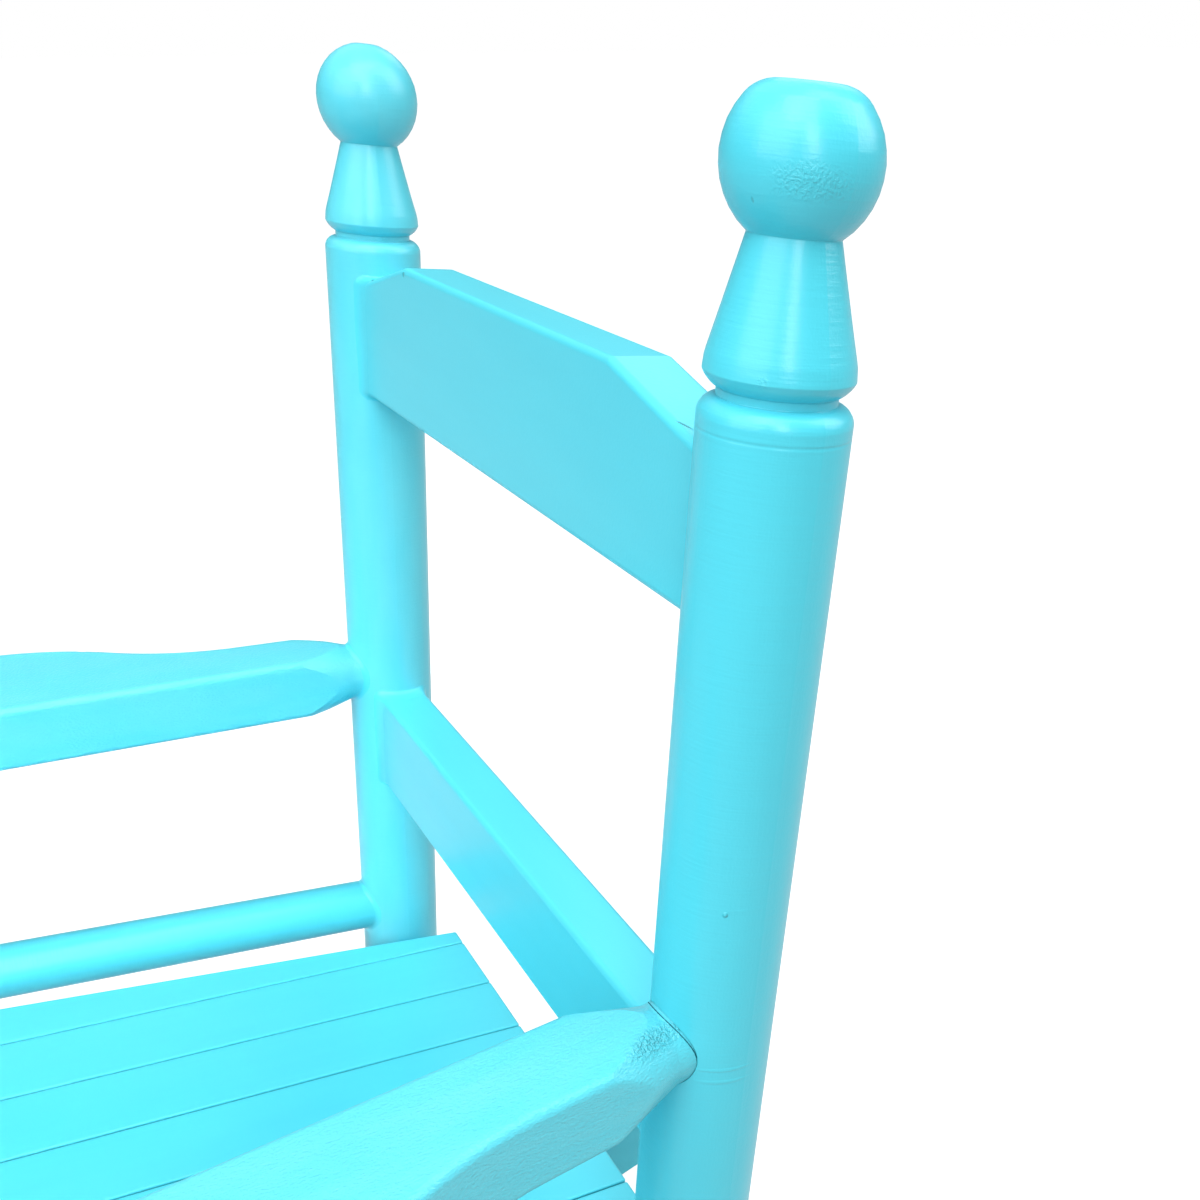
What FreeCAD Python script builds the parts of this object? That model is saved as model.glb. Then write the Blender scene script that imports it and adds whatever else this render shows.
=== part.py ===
"""Child's rocking chair: turned posts, board back, slatted seat, paddle arms and two rockers.

The chair is drawn upright in its own frame: X across (+X is the sitter's left), Y towards the back,
Z up along the posts, from the middle of the back posts at the rockers' top edge. At the end the whole
chair leans back on its rockers and its floor point moves to the origin. All sizes are in millimetres.
"""
import FreeCAD
import Part
import Sketcher
import math
import os
from types import SimpleNamespace
from FreeCAD import Placement, Rotation, Vector

SIZES = {
    # posts
    "post_dia": 32.0,
    "back_spacing": 256.0,         # between the axes of the back posts
    "front_spacing": 292.0,        # between the axes of the front posts
    "post_pitch": 238.0,           # from the front posts back to the back posts
    "shoulder_height": 488.0,      # straight length of a back post above its rocker
    "foot_overlap": 20.0,          # length of a post's forked foot beside the rocker
    # finial, heights above the shoulder
    "shoulder_round": 3.85,
    "groove_dia": 24.8,
    "groove_height": 3.7,
    "groove_width": 1.6,
    "vase_dia": 31.0,
    "vase_height": 8.5,
    "vase_foot_round": 6.2,
    "brow_dia": 30.0,
    "brow_height": 12.2,
    "brow_round": 14.0,
    "neck_dia": 18.4,
    "ball_height": 46.1,           # middle of the ball
    "ball_top_round": 8.0,
    "left_ball_dia": 31.0,         # the two balls were turned by hand, and differ
    "left_ball_top": 12.9,         # flat on top, above the ball's middle
    "right_ball_dia": 32.4,
    "right_ball_top": 15.9,
    # back rails
    "rail_thickness": 18.0,
    "rail_tenon": 14.0,
    "rail_edge_round": 2.0,
    "crest_top": 489.2,
    "crest_height": 47.8,
    "crest_flat": 142.0,           # level length of the crest's top edge
    "crest_drop": 10.0,            # fall of the top edge from there to the posts
    "lower_rail_drop": 6.6,        # its top edge, below the right arm's middle
    "lower_rail_height": 39.0,
    # arms, measured along and across the line from a back post to its front post
    "arm_height": 330.6,           # right arm's middle at the back post
    "left_arm_lift": 4.3,          # the arms were fitted by hand, and differ
    "left_arm_fall": 6.5,          # degrees, towards the front
    "right_arm_fall": 3.0,
    "arm_thickness": 23.5,
    "arm_edge_round": 2.5,
    "arm_inner": 21.0,             # at the front
    "arm_inner_root": 12.4,        # at the back post
    "arm_shank": 13.6,             # straight outer edge behind the flare
    "arm_widest": 37.0,
    "arm_shank_reach": 56.0,       # from the back post's axis to the flare
    "arm_flare_run": 88.0,
    "arm_overhang": 52.0,          # past the front post's axis
    "arm_inner_round": 20.0,
    "arm_outer_round": 28.0,
    "arm_tenon_dia": 21.6,
    "arm_socket_wall": 0.4,        # wood left between an arm's socket and the lower rail's tenon
    "arm_land": 0.5,               # straight length of the tenon outside the post
    "arm_taper": 17.0,             # degrees, of the turned rear end
    "front_tenon_dia": 18.0,
    "front_tenon": 13.0,
    # seat
    "seat_height": 209.4,          # top of the slats at their rear ends
    "seat_rise": 2.2,              # degrees, towards the front
    "seat_overhang": 17.0,         # behind the back posts' axes
    "seat_depth": 285.0,
    "seat_inset": 24.0,            # from the line of the posts to the seat's side edge
    "outer_slat_end": 8.7,         # width of the outer two slats at their rear ends
    "slat_gap": 0.6,
    "slat_thickness": 11.0,
    "slat_edge_round": 0.9,
    "seat_rail_thickness": 20.0,
    "seat_rail_height": 34.0,
    "seat_tenon_step": 5.0,        # shoulder above and below a seat rail's tenon
    # round rails
    "side_rail_dia": 21.4,
    "side_rail_height": 216.6,
    "stretcher_dia": 18.0,
    "side_stretcher_height": 80.0,
    "front_stretcher_height": 122.0,
    "rear_stretcher_height": 112.0,
    "dowel_tenon": 13.0,
    # rockers
    "rocker_radius": 620.0,
    "rocker_depth": 34.0,
    "rocker_thickness": 17.0,
    "rocker_edge_round": 2.0,
    "rocker_nose": 76.0,           # past the front post's axis
    "rocker_tail": 160.0,          # past the back post's axis
    "rest_lean": 6.5,              # degrees that the posts lean back at rest
    "balance_point": 79.0,         # floor point ahead of the back post, at rest
    # fasteners
    "brad_dia": 2.0,
    "brad_length": 24.0,
    "post_screw_dia": 4.0,         # screws through the posts, into arms and rockers
    "post_screw_head": 8.0,
    "rocker_screw_length": 25.0,
    "arm_screw_length": 52.0,
    "slat_screw_dia": 3.5,
    "slat_screw_head": 7.0,
    "slat_screw_length": 23.0,
    "slat_screw_bite": 7.0,        # into the slat
    "screw_head_depth": 3.0,
    # fits
    "glue_gap": 0.1,               # all round a tenon or dowel in its mortise
    "end_gap": 0.5,                # past a tenon's end
    "screw_gap": 0.1,
}
SLAT_COUNT = 8
SIDES = {"left": 1, "right": -1}


class Size:
    """A size that carries its number and the sheet formula it comes from."""

    def __init__(self, value, formula):
        self.value = value
        self.formula = formula

    def joined(self, other, sign, value):
        return Size(value, "({} {} {})".format(self.formula, sign, other.formula))

    def __add__(self, other):
        other = as_size(other)
        return self.joined(other, "+", self.value + other.value)

    def __sub__(self, other):
        other = as_size(other)
        return self.joined(other, "-", self.value - other.value)

    def __mul__(self, other):
        other = as_size(other)
        return self.joined(other, "*", self.value * other.value)

    def __truediv__(self, other):
        other = as_size(other)
        return self.joined(other, "/", self.value / other.value)

    def __neg__(self):
        return self * -1

    __radd__ = __add__
    __rmul__ = __mul__


def as_size(number):
    """Return a number as a size with a constant formula."""
    if isinstance(number, Size):
        return number
    return Size(number, "({!r})".format(number))


def root(size):
    """Return a size's square root."""
    return Size(math.sqrt(size.value), "sqrt({})".format(size.formula))


doc = FreeCAD.newDocument("ChildRockingChair")
sheet = doc.addObject("Spreadsheet::Sheet", "Sizes")
for row, (alias, number) in enumerate(SIZES.items(), start=1):
    sheet.set("A{}".format(row), alias)
    sheet.set("B{}".format(row), str(number))
    sheet.setAlias("B{}".format(row), alias)
doc.recompute()
size = SimpleNamespace(**{name: Size(getattr(sheet, name), "Sizes." + name) for name in SIZES})

post_radius = size.post_dia / 2
toe_out = (size.front_spacing - size.back_spacing) / 2
side_length = root(size.post_pitch * size.post_pitch + toe_out * toe_out)
splay = math.degrees(math.atan2(toe_out.value, size.post_pitch.value))
back_gap = size.back_spacing / 2 - post_radius
front_gap = size.front_spacing / 2 - post_radius
rail_half = size.rail_thickness / 2 + size.glue_gap
arm_tenon = post_radius - rail_half - size.arm_socket_wall - size.end_gap
parts = {}


# Frames inside the chair

ALONG_X = Rotation(Vector(0, 0, 1), Vector(1, 0, 0))
ALONG_Y = Rotation(Vector(0, 0, 1), Vector(0, 1, 0))
FORWARD = Rotation(Vector(0, 0, 1), Vector(0, -1, 0))
UPWARD = Rotation()


def at(x, y, z, rotation=UPWARD):
    """Return a placement at a point given in sizes or numbers."""
    return Placement(Vector(*(as_size(c).value for c in (x, y, z))), rotation)


def side_frame(side):
    """Return the frame on a back post's axis whose Y runs along that side of the chair."""
    return at(size.back_spacing / 2 * side, 0, 0, Rotation(Vector(0, 0, 1), splay * side))


def arm_line(side):
    """Return the height of an arm's middle at the back post, and its fall towards the front in degrees."""
    if side > 0:
        return size.arm_height + size.left_arm_lift, size.left_arm_fall
    return size.arm_height, size.right_arm_fall


def arm_frame(side):
    """Return the frame in the middle of an arm's rear tenon, with Y along the arm."""
    height, fall = arm_line(side)
    return side_frame(side).multiply(at(0, 0, height, Rotation(Vector(1, 0, 0), fall.value)))


def arm_over_front_post(side):
    """Return the height of an arm's middle above the foot of its front post."""
    height, fall = arm_line(side)
    return height - side_length * math.tan(math.radians(fall.value))


def seat_frame():
    """Return the frame on top of the slats, in the middle of their rear ends."""
    tilt = Rotation(Vector(1, 0, 0), -size.seat_rise.value)
    return at(0, size.seat_overhang, size.seat_height, tilt)


# Building blocks

def bind(item, **properties):
    """Tie an object's properties to the sheet."""
    for name, value in properties.items():
        item.setExpression(name, as_size(value).formula)
    return item


def cylinder(name, dia, length, place):
    """Return a round bar that starts at a placement and runs along its Z."""
    bar = doc.addObject("Part::Cylinder", name)
    bar.Placement = place
    return bind(bar, Radius=as_size(dia) / 2, Height=length)


def block(name, extent, place):
    """Return a box whose middle is at a placement."""
    box = doc.addObject("Part::Box", name)
    box.Placement = place.multiply(at(*(-(edge / 2) for edge in extent)))
    return bind(box, Length=extent[0], Width=extent[1], Height=extent[2])


def fused(name, pieces):
    """Return several shapes joined into one."""
    if len(pieces) == 1:
        return pieces[0]
    union = doc.addObject("Part::MultiFuse", name)
    union.Shapes = pieces
    return union


def finish(label, base, cuts=()):
    """Keep a shape, with its holes cut, as a finished piece."""
    if cuts:
        piece = doc.addObject("Part::Cut", label)
        piece.Base = base
        piece.Tool = fused(label + "_holes", list(cuts))
    else:
        piece = base
    piece.Label = label
    parts[label] = piece
    return piece


def group(label, pieces):
    """Keep several equal fasteners as one finished piece."""
    bundle = doc.addObject("Part::Compound", label)
    bundle.Links = pieces
    return finish(label, bundle)


def sketch_in(body, plane):
    """Return a new sketch on one of a body's own planes."""
    sketch = body.newObject("Sketcher::SketchObject", body.Name + "_outline")
    support = next(f for f in body.Origin.OriginFeatures if f.Role == plane)
    sketch.AttachmentSupport = (support, [""])
    sketch.MapMode = "FlatFace"
    return sketch


def arc_between(start, end, radius, turn):
    """Return the short arc between two points that bulges to the right of the way (turn 1) or left (-1)."""
    chord = end - start
    half = chord.Length / 2
    inward = Vector(-chord.y, chord.x, 0).normalize() * turn
    centre = (start + end) / 2 + inward * math.sqrt(radius * radius - half * half)
    first, last = (start, end) if turn > 0 else (end, start)
    angles = [math.atan2(p.y - centre.y, p.x - centre.x) for p in (first, last)]
    return Part.ArcOfCircle(Part.Circle(centre, Vector(0, 0, 1), radius), *angles)


def pin_down(sketch, geometry, end, corner):
    """Hold one end of a line or arc at a corner given in sizes."""
    for kind, axis, value in (("DistanceX", -2, corner[0]), ("DistanceY", -1, corner[1])):
        value = as_size(value)
        if value.value == 0:
            sketch.addConstraint(Sketcher.Constraint("PointOnObject", geometry, end, axis))
        else:
            row = sketch.addConstraint(Sketcher.Constraint(kind, -1, 1, geometry, end, value.value))
            sketch.setExpression("Constraints[{}]".format(row), value.formula)


def draw_loop(sketch, corners, bends=None):
    """Draw a closed outline; bends gives the radius and turn of each side that is an arc."""
    bends = bends or {}
    points = [Vector(as_size(x).value, as_size(y).value, 0) for x, y in corners]
    ends = []
    for i, start in enumerate(points):
        end = points[(i + 1) % len(points)]
        if i in bends:
            radius, turn = bends[i]
            sketch.addGeometry(arc_between(start, end, radius.value, turn), False)
            ends.append((1, 2) if turn > 0 else (2, 1))
        else:
            sketch.addGeometry(Part.LineSegment(start, end), False)
            ends.append((1, 2))
    for i, corner in enumerate(corners):
        after = (i + 1) % len(corners)
        sketch.addConstraint(Sketcher.Constraint("Coincident", i, ends[i][1], after, ends[after][0]))
        pin_down(sketch, i, ends[i][0], corner)
        if i in bends:
            row = sketch.addConstraint(Sketcher.Constraint("Radius", i, bends[i][0].value))
            sketch.setExpression("Constraints[{}]".format(row), bends[i][0].formula)


def turned(name, profile, bends, place):
    """Return a body turned about its Z from half a profile."""
    body = doc.addObject("PartDesign::Body", name)
    sketch = sketch_in(body, "XZ_Plane")
    draw_loop(sketch, profile, bends)
    turning = body.newObject("PartDesign::Revolution", name + "_turning")
    turning.Profile = sketch
    turning.ReferenceAxis = (sketch, ["V_Axis"])
    turning.Angle = 360
    body.Placement = place
    return body


def board(name, plane, outline, thickness, edge_round, place, bends=None, rounded=None):
    """Return a board sawn to an outline, with its edges rounded over."""
    body = doc.addObject("PartDesign::Body", name)
    sketch = sketch_in(body, plane)
    draw_loop(sketch, outline, bends)
    pad = body.newObject("PartDesign::Pad", name + "_board")
    pad.Profile = sketch
    pad.SideType = "Symmetric"
    bind(pad, Length=thickness)
    doc.recompute()
    edges = pad.Shape.Edges
    names = ["Edge{}".format(i + 1) for i, e in enumerate(edges) if rounded is None or rounded(e)]
    softened = body.newObject("PartDesign::Fillet", name + "_edges")
    softened.Base = (pad, names)
    bind(softened, Radius=edge_round)
    body.Placement = place
    return body


# Holes that pieces share

def dowel_hole(name, dia, place):
    """Return the blind hole for a dowel that enters a post from a placement on the post's axis."""
    depth = size.dowel_tenon + size.end_gap
    start = post_radius - depth
    return cylinder(name, dia + size.glue_gap * 2, depth + post_radius, place.multiply(at(0, 0, start)))


def rail_mortise(name, tenon, place):
    """Return the mortise for a board's end, given its thickness and height and its middle at the post."""
    depth = size.rail_tenon + size.end_gap
    clearance = size.glue_gap * 2
    extent = (depth * 2, tenon[0] + clearance, tenon[1] + clearance)
    return block(name, extent, place)


def rocker_centre():
    """Return the middle of a rocker's arc in its side frame."""
    reach = size.rocker_radius - size.rocker_depth
    ahead = math.degrees(math.asin(size.balance_point.value / reach.value)) + size.rest_lean.value
    angle = math.radians(ahead)
    return Vector(0, -reach.value * math.sin(angle), reach.value * math.cos(angle))


def rocker_disc(name, radius, width, side, sector=None):
    """Return a disc, or a sector from one angle to another, about a rocker's arc centre."""
    first, sweep = sector or (0.0, 360.0)
    spin = Rotation(Vector(1, 0, 0), first).multiply(Rotation(Vector(1, 1, 1), 120))
    centre = rocker_centre()
    local = at(-(as_size(width) / 2), centre.y, centre.z, spin)
    disc = cylinder(name, radius * 2, width, side_frame(side).multiply(local))
    disc.Angle = sweep
    return disc


def foot_fork(name, side):
    """Return the slot that straddles a rocker, hollow on the rocker's top edge."""
    width = size.rocker_thickness + size.glue_gap * 2
    ring = doc.addObject("Part::Cut", name)
    ring.Base = rocker_disc(name + "_outer", size.rocker_radius + size.rocker_depth, width, side)
    seat = size.rocker_radius - size.rocker_depth - size.glue_gap
    ring.Tool = rocker_disc(name + "_inner", seat, width, side)
    return ring


def rocker_screw_spot(side, along):
    """Return the head of a rocker screw, outside a post's foot and pointing inwards."""
    inwards = Rotation(Vector(0, 0, 1), Vector(-side, 0, 0))
    start = (post_radius - 1) * side
    return side_frame(side).multiply(at(start, along, size.foot_overlap / -2, inwards))


def post_screw_hole(name, length, spot):
    """Return the counterbored hole of a screw that is driven into a post."""
    gap = size.screw_gap * 2
    head = cylinder(name + "_head", size.post_screw_head + gap, size.screw_head_depth * 2,
                    spot.multiply(at(0, 0, -size.screw_head_depth)))
    shank = cylinder(name + "_shank", size.post_screw_dia + gap, length + size.end_gap, spot)
    return [head, shank]


def rail_brad(name, side, height, growth=0):
    """Return a brad, or its hole when grown, driven from behind through a back rail's tenon."""
    across = (back_gap + size.rail_tenon / 2) * side
    start = at(across, post_radius - 3, height, FORWARD)
    return cylinder(name, size.brad_dia + growth, size.brad_length, start)


def arm_screw_spot(side):
    """Return the head of an arm's screw, behind the back post and pointing forward into the arm."""
    return arm_frame(side).multiply(at(0, post_radius - 1, 0, FORWARD))


# Pieces

brad_growth = size.screw_gap * 2
crest_end_top = size.crest_top - size.crest_drop
crest_bottom = size.crest_top - size.crest_height
crest_tenon_height = size.crest_height - size.crest_drop
crest_tenon_middle = crest_bottom + crest_tenon_height / 2
lower_rail_top = size.arm_height - size.lower_rail_drop
lower_rail_middle = lower_rail_top - size.lower_rail_height / 2
seat_rail_drop = size.slat_thickness + size.seat_rail_height / 2
seat_tenon_height = size.seat_rail_height - size.seat_tenon_step * 2
SEAT_RAILS = {"rear": (back_gap, -size.seat_overhang),
              "front": (front_gap, -(size.seat_overhang + size.post_pitch))}


def seat_mortise(name, which, side):
    """Return the mortise for a seat rail's tenon in the post on one side."""
    gap, along = SEAT_RAILS[which]
    place = seat_frame().multiply(at(gap * side, along, -seat_rail_drop))
    return rail_mortise(name, (size.seat_rail_thickness, seat_tenon_height), place)


def back_post(hand, side):
    """A turned post: plain below, groove, vase, neck and ball with a rounded flat on top."""
    label = "back_post_" + hand
    ball = getattr(size, hand + "_ball_dia") / 2
    top = getattr(size, hand + "_ball_top")
    neck = size.neck_dia / 2
    base = size.shoulder_height
    ball_middle = base + size.ball_height
    neck_top = ball_middle - root(ball * ball - neck * neck)
    inner = ball - size.ball_top_round
    rise = top - size.ball_top_round
    flat = root(inner * inner - rise * rise)
    profile = [
        (0, -size.foot_overlap),
        (post_radius, -size.foot_overlap),
        (post_radius, base),
        (size.groove_dia / 2, base + size.groove_height),
        (size.groove_dia / 2, base + size.groove_height + size.groove_width),
        (size.vase_dia / 2, base + size.vase_height),
        (size.brow_dia / 2, base + size.brow_height),
        (neck, neck_top),
        (flat * ball / inner, ball_middle + rise * ball / inner),
        (flat, ball_middle + top),
        (0, ball_middle + top),
    ]
    bends = {2: (size.shoulder_round, 1), 4: (size.vase_foot_round, 1), 5: (size.brow_round, 1), 7: (ball, 1),
             8: (size.ball_top_round, 1)}
    post = turned(label + "_turned", profile, bends, side_frame(side))
    frame = side_frame(side)
    inward = ALONG_X if side < 0 else Rotation(Vector(0, 0, 1), Vector(-1, 0, 0))
    axis_x = size.back_spacing / 2 * side
    crest_spot = at(back_gap * side, 0, crest_tenon_middle)
    lower_spot = at(back_gap * side, 0, lower_rail_middle)
    arm_depth = arm_tenon + size.end_gap
    arm_start = arm_frame(side).multiply(at(0, arm_depth - post_radius, 0, FORWARD))
    cuts = [
        rail_mortise(label + "_crest_mortise", (size.rail_thickness, crest_tenon_height), crest_spot),
        rail_mortise(label + "_lower_mortise", (size.rail_thickness, size.lower_rail_height), lower_spot),
        seat_mortise(label + "_seat_mortise", "rear", side),
        cylinder(label + "_arm_hole", size.arm_tenon_dia + size.glue_gap * 2, arm_depth + post_radius,
                 arm_start),
        dowel_hole(label + "_side_rail_hole", size.side_rail_dia,
                   frame.multiply(at(0, 0, size.side_rail_height, FORWARD))),
        dowel_hole(label + "_side_stretcher_hole", size.stretcher_dia,
                   frame.multiply(at(0, 0, size.side_stretcher_height, FORWARD))),
        dowel_hole(label + "_rear_stretcher_hole", size.stretcher_dia,
                   at(axis_x, 0, size.rear_stretcher_height, inward)),
        foot_fork(label + "_fork", side),
        rail_brad(label + "_crest_brad_hole", side, crest_tenon_middle, brad_growth),
        rail_brad(label + "_lower_brad_hole", side, lower_rail_middle, brad_growth),
    ]
    cuts += post_screw_hole(label + "_arm_screw", size.arm_screw_length, arm_screw_spot(side))
    cuts += post_screw_hole(label + "_rocker_screw", size.rocker_screw_length, rocker_screw_spot(side, 0))
    finish(label, post, cuts)


def front_post(hand, side):
    """A round post cut to the slope of the arm it carries, with a round tenon into the arm."""
    label = "front_post_" + hand
    frame = side_frame(side).multiply(at(0, -side_length, 0))
    arm_middle = arm_over_front_post(side)
    foot = at(0, 0, -size.foot_overlap)
    stock = cylinder(label + "_stock", size.post_dia, arm_middle + size.foot_overlap, frame.multiply(foot))
    trim_size = (size.post_dia * 2, size.post_dia * 2, size.arm_thickness * 2)
    arm_spot = at(0, -side_length, size.arm_thickness / 2)
    trim = block(label + "_trim", trim_size, arm_frame(side).multiply(arm_spot))
    trimmed = doc.addObject("Part::Cut", label + "_trimmed")
    trimmed.Base = stock
    trimmed.Tool = trim
    tenon_start = arm_middle - size.arm_thickness
    tenon = cylinder(label + "_tenon", size.front_tenon_dia, size.arm_thickness / 2 + size.front_tenon,
                     frame.multiply(at(0, 0, tenon_start)))
    inward = ALONG_X if side < 0 else Rotation(Vector(0, 0, 1), Vector(-1, 0, 0))
    axis_x = size.front_spacing / 2 * side
    cuts = [
        seat_mortise(label + "_seat_mortise", "front", side),
        dowel_hole(label + "_side_rail_hole", size.side_rail_dia,
                   side_frame(side).multiply(at(0, -side_length, size.side_rail_height, ALONG_Y))),
        dowel_hole(label + "_side_stretcher_hole", size.stretcher_dia,
                   side_frame(side).multiply(at(0, -side_length, size.side_stretcher_height, ALONG_Y))),
        dowel_hole(label + "_front_stretcher_hole", size.stretcher_dia,
                   at(axis_x, -size.post_pitch, size.front_stretcher_height, inward)),
        foot_fork(label + "_fork", side),
    ]
    cuts += post_screw_hole(label + "_rocker_screw", size.rocker_screw_length,
                            rocker_screw_spot(side, -side_length))
    finish(label, fused(label + "_turned", [trimmed, tenon]), cuts)


def back_board(name, outline):
    """Return a board of the back, upright between the posts."""
    return board(name, "XZ_Plane", outline, size.rail_thickness, size.rail_edge_round, at(0, 0, 0))


def crest_rail():
    """The top board of the back, level in the middle and sloping down to the posts."""
    end = back_gap + size.rail_tenon
    flat = size.crest_flat / 2
    outline = [
        (-end, crest_bottom),
        (end, crest_bottom),
        (end, crest_end_top),
        (back_gap, crest_end_top),
        (flat, size.crest_top),
        (-flat, size.crest_top),
        (-back_gap, crest_end_top),
        (-end, crest_end_top),
    ]
    rail = back_board("crest_rail_board", outline)
    holes = [rail_brad("crest_brad_hole_" + hand, side, crest_tenon_middle, brad_growth)
             for hand, side in SIDES.items()]
    finish("crest_rail", rail, holes)


def lower_back_rail():
    """The plain lower board of the back."""
    end = back_gap + size.rail_tenon
    bottom = lower_rail_top - size.lower_rail_height
    outline = [(-end, bottom), (end, bottom), (end, lower_rail_top), (-end, lower_rail_top)]
    rail = back_board("lower_rail_board", outline)
    holes = [rail_brad("lower_brad_hole_" + hand, side, lower_rail_middle, brad_growth)
             for hand, side in SIDES.items()]
    finish("lower_back_rail", rail, holes)


def arm(hand, side):
    """A paddle arm: widening slowly inside, flaring outside, its rear end turned to a round tenon."""
    label = "arm_" + hand
    tail = arm_tenon - post_radius
    front = -(side_length + size.arm_overhang)
    inner = size.arm_inner * -side
    inner_root = size.arm_inner_root * -side
    outer = size.arm_widest * side
    shank = size.arm_shank * side
    swell = (size.arm_widest - size.arm_shank) / 2
    run = size.arm_flare_run / 2
    flare = (swell * swell + run * run) / (swell * 2)
    outline = [
        (inner_root, tail),
        (inner, front + size.arm_inner_round),
        (inner + size.arm_inner_round * side, front),
        (outer - size.arm_outer_round * side, front),
        (outer, front + size.arm_outer_round),
        (outer, -(size.arm_shank_reach + size.arm_flare_run)),
        (shank + swell * side, -(size.arm_shank_reach + run)),
        (shank, -size.arm_shank_reach),
        (shank, tail),
    ]
    bends = {1: (size.arm_inner_round, side), 3: (size.arm_outer_round, side), 5: (flare, side),
             6: (flare, -side)}
    half = size.arm_thickness.value / 2

    def face_edge(edge):
        middle = edge.CenterOfMass
        return abs(abs(middle.z) - half) < 0.01 and middle.y < tail.value - 0.01

    paddle = board(label + "_board", "XY_Plane", outline, size.arm_thickness, size.arm_edge_round,
                   arm_frame(side), bends, face_edge)
    taper = math.tan(math.radians(size.arm_taper.value))
    tenon = cylinder(label + "_tenon", size.arm_tenon_dia, arm_tenon + size.arm_land,
                     arm_frame(side).multiply(at(0, tail, 0, FORWARD)))
    length = side_length + size.arm_overhang
    cone = doc.addObject("Part::Cone", label + "_taper")
    cone.Placement = arm_frame(side).multiply(at(0, -(post_radius + size.arm_land), 0, FORWARD))
    bind(cone, Radius1=size.arm_tenon_dia / 2, Radius2=size.arm_tenon_dia / 2 + length * taper, Height=length)
    shaped = doc.addObject("Part::MultiCommon", label + "_shaped")
    shaped.Shapes = [paddle, fused(label + "_envelope", [tenon, cone])]
    mortise_top = arm_over_front_post(side) - size.arm_thickness / 2 + size.front_tenon
    reach = size.front_tenon + size.arm_thickness
    hole_base = mortise_top + size.end_gap - reach
    mortise = cylinder(label + "_front_mortise", size.front_tenon_dia + size.glue_gap * 2, reach,
                       side_frame(side).multiply(at(0, -side_length, hole_base)))
    pilot = cylinder(label + "_pilot", size.post_screw_dia + size.screw_gap * 2,
                     size.arm_screw_length + size.end_gap, arm_screw_spot(side))
    finish(label, shaped, [mortise, pilot])


def round_rails():
    """The dowels between the posts: side rails at the seat, and stretchers below."""
    entry = post_radius - size.dowel_tenon
    for hand, side in SIDES.items():
        for name, dia, height in (("side_rail_", size.side_rail_dia, size.side_rail_height),
                                  ("side_stretcher_", size.stretcher_dia, size.side_stretcher_height)):
            start = side_frame(side).multiply(at(0, -entry, height, FORWARD))
            finish(name + hand, cylinder(name + hand, dia, side_length - entry * 2, start))
    for name, spacing, along, height in (
            ("front_stretcher", size.front_spacing, -size.post_pitch, size.front_stretcher_height),
            ("rear_stretcher", size.back_spacing, as_size(0), size.rear_stretcher_height)):
        length = spacing - entry * 2
        finish(name, cylinder(name, size.stretcher_dia, length, at(length / -2, along, height, ALONG_X)))


def seat_edge(along):
    """Return half the seat's width at a distance along it from the slats' rear ends."""
    return size.back_spacing / 2 - size.seat_inset - (along + size.seat_overhang) * toe_out / size.post_pitch


slat_pitch = (seat_edge(as_size(0)) - size.slat_gap / 2 - size.outer_slat_end) / (SLAT_COUNT / 2 - 1)


def slat_edges(number, along):
    """Return the two edges of a slat, across the seat, at a distance along it from the rear ends."""
    low = slat_pitch * (number - SLAT_COUNT / 2) + size.slat_gap / 2
    high = slat_pitch * (number + 1 - SLAT_COUNT / 2) - size.slat_gap / 2
    if number == 0:
        low = -seat_edge(along)
    if number == SLAT_COUNT - 1:
        high = seat_edge(along)
    return low, high


def slat_screw_spot(number, which):
    """Return the head of the screw that holds one slat to one seat rail, pointing up into the slat."""
    along = SEAT_RAILS[which][1]
    low, high = slat_edges(number, along)
    head = size.slat_screw_bite - size.slat_thickness - size.slat_screw_length
    return seat_frame().multiply(at((low + high) / 2, along, head))


def seat_slat(number):
    """One board of the seat; the outer two follow the splay of the chair's sides."""
    label = "seat_slat_{}".format(number + 1)
    rear_low, rear_high = slat_edges(number, as_size(0))
    front_low, front_high = slat_edges(number, -size.seat_depth)
    outline = [(rear_low, 0), (front_low, -size.seat_depth), (front_high, -size.seat_depth), (rear_high, 0)]
    middle = seat_frame().multiply(at(0, 0, size.slat_thickness / -2))
    slat = board(label + "_board", "XY_Plane", outline, size.slat_thickness, size.slat_edge_round, middle)
    holes = [cylinder("{}_{}_hole".format(label, which), size.slat_screw_dia + size.screw_gap * 2,
                      size.slat_screw_length + size.end_gap, slat_screw_spot(number, which))
             for which in SEAT_RAILS]
    finish(label, slat, holes)


def seat_rail(which):
    """A cross board under the slats, with a stepped tenon at each end and a counterbore for each screw."""
    label = which + "_seat_rail"
    gap, along = SEAT_RAILS[which]
    end = gap + size.rail_tenon
    half = size.seat_rail_height / 2
    step = half - size.seat_tenon_step
    outline = [
        (-gap, -half), (gap, -half), (gap, -step), (end, -step), (end, step), (gap, step),
        (gap, half), (-gap, half), (-gap, step), (-end, step), (-end, -step), (-gap, -step),
    ]
    place = seat_frame().multiply(at(0, along, -seat_rail_drop))

    def lower_edge(edge):
        return edge.Length > gap.value and edge.CenterOfMass.z < 0

    rail = board(label + "_board", "XZ_Plane", outline, size.seat_rail_thickness, size.rail_edge_round, place,
                 rounded=lower_edge)
    holes = []
    for number in range(SLAT_COUNT):
        name = "{}_hole_{}".format(label, number + 1)
        spot = slat_screw_spot(number, which)
        gap_dia = size.screw_gap * 2
        holes.append(cylinder(name, size.slat_screw_dia + gap_dia, size.slat_screw_length, spot))
        deep = size.seat_rail_height
        bore_start = spot.multiply(at(0, 0, size.screw_head_depth - deep))
        holes.append(cylinder(name + "_bore", size.slat_screw_head + gap_dia, deep, bore_start))
    finish(label, rail, holes)


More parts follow.
